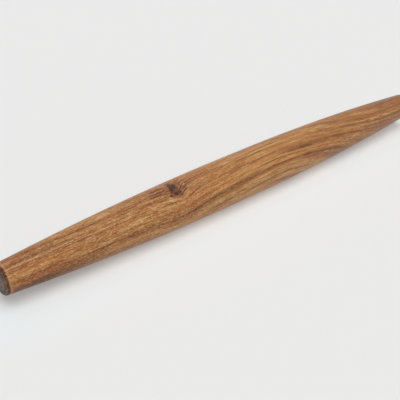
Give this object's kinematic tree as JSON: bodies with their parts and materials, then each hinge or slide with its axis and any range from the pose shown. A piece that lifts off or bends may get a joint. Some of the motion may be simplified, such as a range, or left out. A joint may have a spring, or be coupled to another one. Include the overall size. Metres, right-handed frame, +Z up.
{
  "type": "rolling pin",
  "caption": "French rolling pin: one turned piece of dark-streaked hardwood, fattest at a short straight land in the middle and tapered in a long arc to a rounded end on each side.",
  "frame": {"origin": "middle of the turning axis, halfway between the two flat ends", "axes": "+X along the turning axis; +Z up as the pin lies on a table; +Y completes the frame"},
  "size_m": [0.508, 0.0444, 0.0444],
  "materials": {
    "oiled_acacia": "fine-sanded and oiled, satin, long grain with dark streaks and one knot"
  },
  "bodies": {
    "root": {"rolling_pin": "oiled_acacia"}
  },
  "joints": []
}
